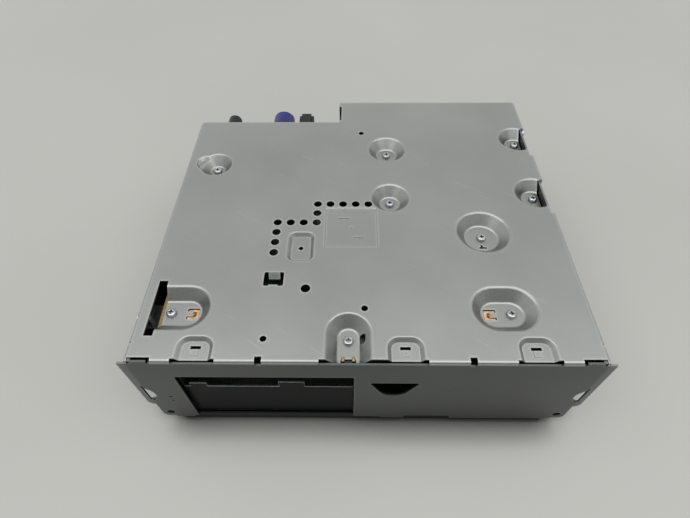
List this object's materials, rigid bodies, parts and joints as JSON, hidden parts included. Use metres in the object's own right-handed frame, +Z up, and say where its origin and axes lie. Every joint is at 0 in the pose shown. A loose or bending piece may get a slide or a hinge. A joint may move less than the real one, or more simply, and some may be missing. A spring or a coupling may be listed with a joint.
{
  "type": "car head unit",
  "caption": "Sheet-steel car head unit with its bezel off: stepped case with pressed screw dimples, front drive window, ears, rear jacks and a fan.",
  "frame": {"origin": "centre of the case's width and of its whole depth with the jacks, on the underside of the bottom pan", "axes": "+X to the right as seen from the front, +Y to the rear, +Z up"},
  "size_m": [0.1872, 0.168, 0.06],
  "materials": {
    "zinc_sheet": "matt zinc-coated pressed sheet",
    "plain_steel": "bright zinc-plated screws",
    "copper_contact": "bare copper pad",
    "brass_pin": "turned brass",
    "board_green": "glass-epoxy board with solder mask",
    "chip_black": "moulded epoxy package",
    "pad_grey": "soft silicone pad",
    "tin_can": "tin-plated sheet",
    "blue_plastic": "moulded polyamide",
    "black_plastic": "moulded polyamide",
    "sleeve_black": "shrink-sleeved aluminium can",
    "ferrite": "pressed ferrite",
    "aluminium_sink": "extruded",
    "cast_aluminium": "die-cast",
    "drive_lid": "pressed stainless sheet",
    "disk_mirror": "polished disk",
    "damper_rubber": "moulded rubber"
  },
  "bodies": {
    "case": {"top_cover": "zinc_sheet", "front_plate": "zinc_sheet", "left_side_plate": "zinc_sheet", "right_side_plate": "zinc_sheet", "rear_plate": "zinc_sheet", "bottom_pan": "zinc_sheet", "drive_bay": "zinc_sheet", "main_board": "board_green", "board_posts": "plain_steel", "cover_screws": "plain_steel", "ground_contacts": "copper_contact", "guide_pins": "brass_pin", "processor": "chip_black", "thermal_pad": "pad_grey", "memory_chips": "chip_black", "tuner_can": "tin_can", "blue_jack": "blue_plastic", "black_jack": "black_plastic", "jack_contacts": "brass_pin", "data_socket": "black_plastic", "power_board": "board_green", "board_spacers": "plain_steel", "capacitors": "sleeve_black", "choke_coil": "ferrite", "heat_sink": "aluminium_sink", "amplifier_chip": "chip_black", "main_connector": "black_plastic", "connector_pins": "tin_can", "riser_board": "board_green", "fan_frame": "black_plastic", "fan_screws": "plain_steel", "side_screws": "plain_steel", "drive_socket": "black_plastic"},
    "fan": {"fan_rotor": "black_plastic"},
    "drive": {"drive_caddy": "zinc_sheet", "drive_dampers": "damper_rubber", "drive_screws": "plain_steel", "disk_case": "cast_aluminium", "disk_lid": "drive_lid"},
    "disk": {"disk_platter": "disk_mirror", "disk_hub": "aluminium_sink"},
    "heads": {"head_arm": "aluminium_sink"}
  },
  "joints": [
    {"name": "drive_slide", "type": "slide", "parent": "case", "child": "drive", "axis": [0, -1, 0], "range_m": [0, 0.1]},
    {"name": "fan_spin", "type": "hinge", "parent": "case", "child": "fan", "pos_m": [-0.071, 0.059, 0.0228], "axis": [0, 1, 0], "continuous": true},
    {"name": "disk_spin", "type": "hinge", "parent": "drive", "child": "disk", "pos_m": [-0.0393, -0.015, 0.015], "axis": [0, 0, 1], "continuous": true},
    {"name": "head_swing", "type": "hinge", "parent": "drive", "child": "heads", "pos_m": [-0.0103, -0.0689, 0.015], "axis": [0, 0, 1], "range_deg": [0, 28]}
  ]
}
